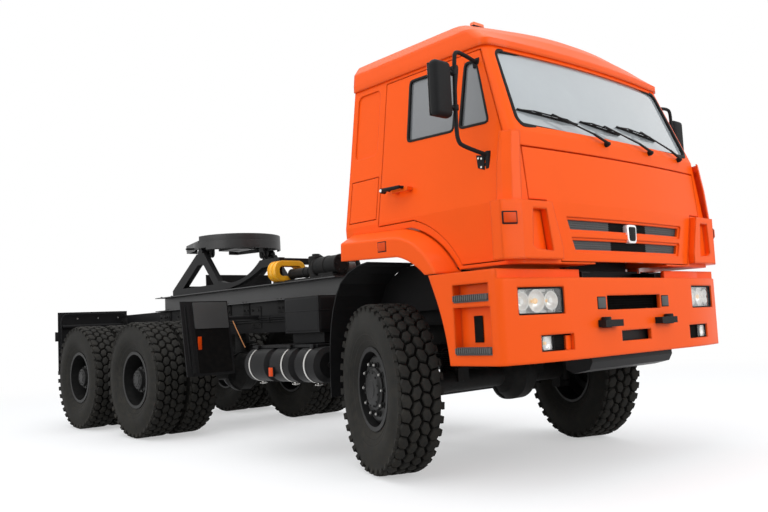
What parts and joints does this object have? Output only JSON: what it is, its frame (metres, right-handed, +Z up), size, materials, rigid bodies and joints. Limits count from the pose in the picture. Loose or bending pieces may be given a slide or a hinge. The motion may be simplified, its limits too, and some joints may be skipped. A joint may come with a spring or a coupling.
{
  "type": "six-wheel-drive cab-over truck tractor",
  "caption": "Cab-over off-road truck tractor with tilting cab, steered front wheels, twin-tyred rear bogie, winch and trailer coupling.",
  "frame": {"origin": "on the ground, midway along the truck's length and between its sides", "axes": "+Z up, the truck faces -Y, its left side is towards +X"},
  "size_m": [2.83, 6.98, 2.94],
  "materials": {
    "orange_paint": "gloss vivid orange",
    "black_paint": "satin black",
    "dark_plastic": "matt black",
    "tyre": "matt rubber",
    "window_glass": "clear, slightly grey",
    "lamp_glass": "clear lens",
    "red_lens": "gloss red",
    "amber_lens": "gloss orange",
    "yellow_paint": "satin yellow",
    "cast_iron": "satin black cast",
    "seat_cloth": "dark grey cloth"
  },
  "bodies": {
    "chassis": {"frame_rails": "black_paint", "subframe": "black_paint", "coupling_stand": "black_paint", "bumper": "orange_paint", "step_treads": "dark_plastic", "front_lamps": "lamp_glass", "tow_hooks": "black_paint", "under_member": "black_paint", "engine": "cast_iron", "driveline": "cast_iron", "front_axle": "cast_iron", "mid_axle": "cast_iron", "rear_axle": "cast_iron", "leaf_springs": "black_paint", "radiator": "black_paint", "fuel_tank": "black_paint", "air_tanks": "black_paint", "battery_box": "dark_plastic", "winch": "cast_iron", "winch_guard": "yellow_paint", "mudguards": "dark_plastic", "tail_lamps": "red_lens"},
    "cab": {"cab_shell": "orange_paint", "roof": "orange_paint", "windscreen": "window_glass", "rear_window": "window_glass", "cab_fenders": "orange_paint", "corner_deflectors": "orange_paint", "dashboard": "dark_plastic", "seats": "seat_cloth", "wipers": "dark_plastic", "roof_lamps": "amber_lens"},
    "door_right": {"door_right": "orange_paint", "door_glass_right": "window_glass", "mirror_right": "dark_plastic"},
    "door_left": {"door_left": "orange_paint", "door_glass_left": "window_glass", "mirror_left": "dark_plastic"},
    "front_panel": {"front_panel": "orange_paint"},
    "side_lid_right": {"side_lid_right": "orange_paint"},
    "side_lid_left": {"side_lid_left": "orange_paint"},
    "steering_wheel": {"steering_wheel": "dark_plastic"},
    "coupling_plate": {"coupling_plate": "cast_iron"},
    "knuckle_right": {"knuckle_right": "cast_iron"},
    "knuckle_left": {"knuckle_left": "cast_iron"},
    "tie_rod": {"tie_rod": "black_paint"},
    "front_wheel_right": {"front_tyre_right": "tyre", "front_rim_right": "black_paint"},
    "front_wheel_left": {"front_tyre_left": "tyre", "front_rim_left": "black_paint"},
    "mid_wheels_right": {"mid_tyres_right": "tyre", "mid_rims_right": "black_paint"},
    "mid_wheels_left": {"mid_tyres_left": "tyre", "mid_rims_left": "black_paint"},
    "rear_wheels_right": {"rear_tyres_right": "tyre", "rear_rims_right": "black_paint"},
    "rear_wheels_left": {"rear_tyres_left": "tyre", "rear_rims_left": "black_paint"}
  },
  "joints": [
    {"name": "cab_tilt", "type": "hinge", "parent": "chassis", "child": "cab", "pos_m": [0, -3.31, 1.1], "axis": [1, 0, 0], "range_deg": [0, 42]},
    {"name": "door_right_hinge", "type": "hinge", "parent": "cab", "child": "door_right", "pos_m": [-1.15, -3.315, 1.9], "axis": [0, 0, 1], "range_deg": [0, 70]},
    {"name": "door_left_hinge", "type": "hinge", "parent": "cab", "child": "door_left", "pos_m": [1.15, -3.315, 1.9], "axis": [0, 0, -1], "range_deg": [0, 70]},
    {"name": "front_panel_hinge", "type": "hinge", "parent": "cab", "child": "front_panel", "pos_m": [0, -3.424, 1.99], "axis": [-1, 0, 0], "range_deg": [0, 80]},
    {"name": "side_lid_right_hinge", "type": "hinge", "parent": "cab", "child": "side_lid_right", "pos_m": [-1.092, -2.09, 1.99], "axis": [0, 1, 0], "range_deg": [0, 80]},
    {"name": "side_lid_left_hinge", "type": "hinge", "parent": "cab", "child": "side_lid_left", "pos_m": [1.092, -2.09, 1.99], "axis": [0, -1, 0], "range_deg": [0, 80]},
    {"name": "steering_wheel_turn", "type": "hinge", "parent": "cab", "child": "steering_wheel", "pos_m": [0.6, -2.85, 2.185], "axis": [0, 0.4695, 0.8829], "range_deg": [-271, 991]},
    {"name": "coupling_tilt", "type": "hinge", "parent": "chassis", "child": "coupling_plate", "pos_m": [0, 1.39, 1.842], "axis": [1, 0, 0], "range_deg": [-12, 12]},
    {"name": "steer_right", "type": "hinge", "parent": "chassis", "child": "knuckle_right", "pos_m": [-0.86, -2.21, 0.568], "axis": [0, 0, 1], "range_deg": [-15, 55]},
    {"name": "steer_left", "type": "hinge", "parent": "chassis", "child": "knuckle_left", "pos_m": [0.86, -2.21, 0.568], "axis": [0, 0, 1], "range_deg": [-15, 55]},
    {"name": "tie_rod_eye", "type": "hinge", "parent": "knuckle_right", "child": "tie_rod", "pos_m": [-0.70101, -1.94861, 0.461], "axis": [0, 0, 1], "range_deg": [-60, 17]},
    {"name": "front_wheel_right_spin", "type": "hinge", "parent": "knuckle_right", "child": "front_wheel_right", "pos_m": [-1.01975, -2.15186, 0.568], "axis": [0.9397, -0.342, 0], "continuous": true},
    {"name": "front_wheel_left_spin", "type": "hinge", "parent": "knuckle_left", "child": "front_wheel_left", "pos_m": [1.01975, -2.26814, 0.568], "axis": [0.9397, -0.342, 0], "continuous": true},
    {"name": "mid_wheels_right_spin", "type": "hinge", "parent": "chassis", "child": "mid_wheels_right", "pos_m": [-0.925, 1.39, 0.568], "axis": [1, 0, 0], "continuous": true},
    {"name": "mid_wheels_left_spin", "type": "hinge", "parent": "chassis", "child": "mid_wheels_left", "pos_m": [0.925, 1.39, 0.568], "axis": [1, 0, 0], "continuous": true},
    {"name": "rear_wheels_right_spin", "type": "hinge", "parent": "chassis", "child": "rear_wheels_right", "pos_m": [-0.925, 2.83, 0.568], "axis": [1, 0, 0], "continuous": true},
    {"name": "rear_wheels_left_spin", "type": "hinge", "parent": "chassis", "child": "rear_wheels_left", "pos_m": [0.925, 2.83, 0.568], "axis": [1, 0, 0], "continuous": true}
  ],
  "couplings": [
    {"joint": "steer_left", "follows": "steer_right", "ratio": 1},
    {"joint": "tie_rod_eye", "follows": "steer_right", "ratio": -1.071},
    {"joint": "steering_wheel_turn", "follows": "steer_right", "ratio": 18}
  ]
}
